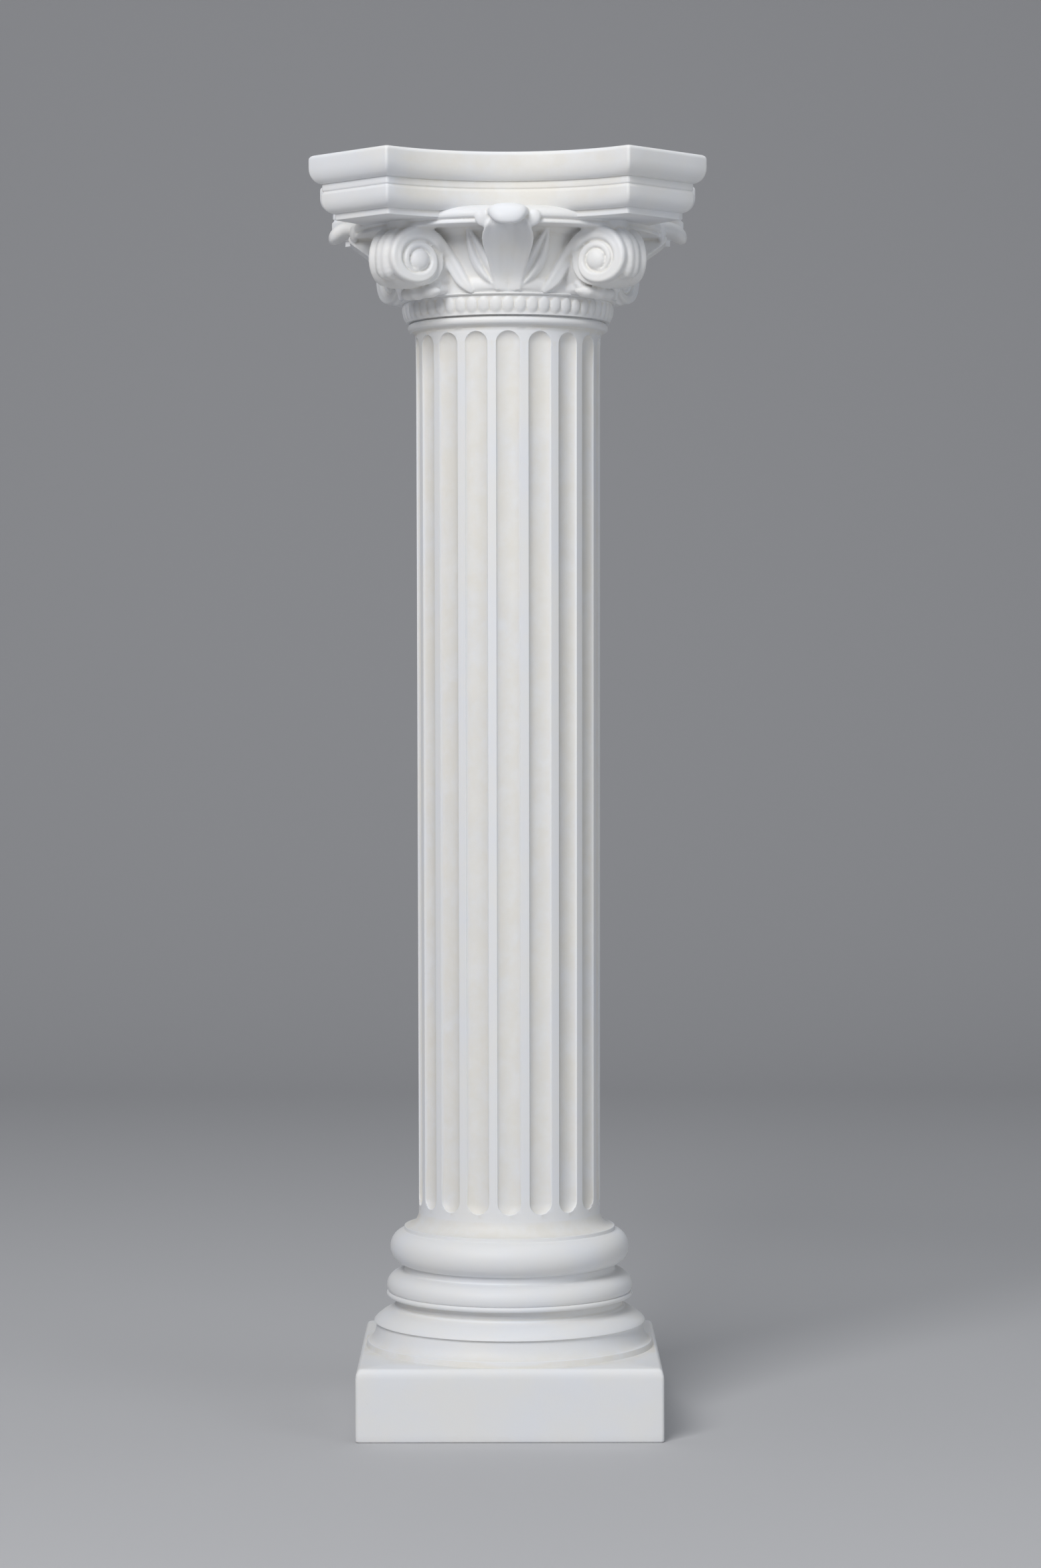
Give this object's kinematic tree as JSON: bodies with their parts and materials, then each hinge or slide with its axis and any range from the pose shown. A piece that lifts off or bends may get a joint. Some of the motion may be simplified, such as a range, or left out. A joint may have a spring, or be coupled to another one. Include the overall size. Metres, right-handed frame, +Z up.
{
  "type": "marble column",
  "caption": "Fluted column pedestal on a square plinth, with a turned base, a leaf and scroll capital and a hollow-sided top plate that carries what is set on it.",
  "frame": {"origin": "centre of the underside of the plinth, on the floor", "axes": "+Z up along the column's axis, X and Y along the plinth's sides"},
  "size_m": [0.3126, 0.3126, 1],
  "materials": {
    "cast_marble": "matt, fine-grained, slightly translucent white with warm dust in the hollows"
  },
  "bodies": {
    "root": {"marble_column": "cast_marble"}
  },
  "joints": []
}
